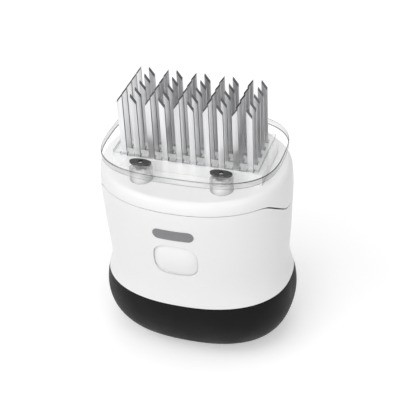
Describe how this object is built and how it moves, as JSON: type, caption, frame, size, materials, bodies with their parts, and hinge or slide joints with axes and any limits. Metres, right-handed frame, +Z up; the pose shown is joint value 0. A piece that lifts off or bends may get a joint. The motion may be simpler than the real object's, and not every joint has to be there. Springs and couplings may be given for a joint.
{
  "type": "blade meat tenderizer",
  "caption": "Hand tool that tenderizes meat with rows of steel blades, with a clear sliding blade guard, a release button and a soft domed palm grip; stands on its grip.",
  "frame": {"origin": "middle of the flat the soft grip stands on", "axes": "+Z up along the blades, X across the wide side, -Y out of the face with the button"},
  "size_m": [0.105, 0.085, 0.1475],
  "materials": {
    "grip_rubber": "soft-touch overmould, matte",
    "white_shell": "white moulded plastic, gloss",
    "clear_guard": "clear moulded plastic, polished",
    "badge_grey": "plain grey inlay",
    "blade_steel": "stamped stainless strip, ground tips",
    "spring_steel": "drawn wire and strip",
    "pin_steel": "ground rod",
    "screw_steel": "zinc-plated screws",
    "seat_black": "dark oval disc",
    "cup_plastic": "pale moulded cup",
    "frame_plastic": "moulded inner parts"
  },
  "bodies": {
    "root": {"soft_grip": "grip_rubber", "handle_shell": "white_shell", "head_shell": "white_shell", "blade_carrier": "frame_plastic", "carrier_clamp": "frame_plastic", "comb_pins": "pin_steel", "carrier_screws": "screw_steel", "blade_comb_1": "blade_steel", "blade_comb_2": "blade_steel", "blade_comb_3": "blade_steel", "blade_comb_4": "blade_steel", "blade_comb_5": "blade_steel", "chassis": "frame_plastic", "chassis_screws": "screw_steel", "guide_pin_1": "pin_steel", "guide_pin_2": "pin_steel", "guide_pin_3": "pin_steel", "guide_pin_4": "pin_steel", "return_spring_1": "spring_steel", "return_spring_2": "spring_steel", "return_spring_3": "spring_steel", "return_spring_4": "spring_steel", "latch_leaf": "spring_steel", "latch_screw": "screw_steel", "badge": "badge_grey"},
    "guard": {"guard_plate": "clear_guard", "guard_yoke": "frame_plastic", "yoke_pins": "pin_steel", "spring_cups": "cup_plastic", "post_discs": "seat_black"},
    "button": {"button": "white_shell"}
  },
  "joints": [
    {"name": "guard_slide", "type": "slide", "parent": "root", "child": "guard", "axis": [0, 0, 1], "range_m": [0, 0.034], "deforming": ["return_spring_1", "return_spring_2", "return_spring_3", "return_spring_4", "latch_leaf"]},
    {"name": "button_press", "type": "slide", "parent": "root", "child": "button", "axis": [0, 1, 0], "range_m": [0, 0.0025], "stiffness_N_per_m": 400, "deforming": ["latch_leaf"]}
  ]
}
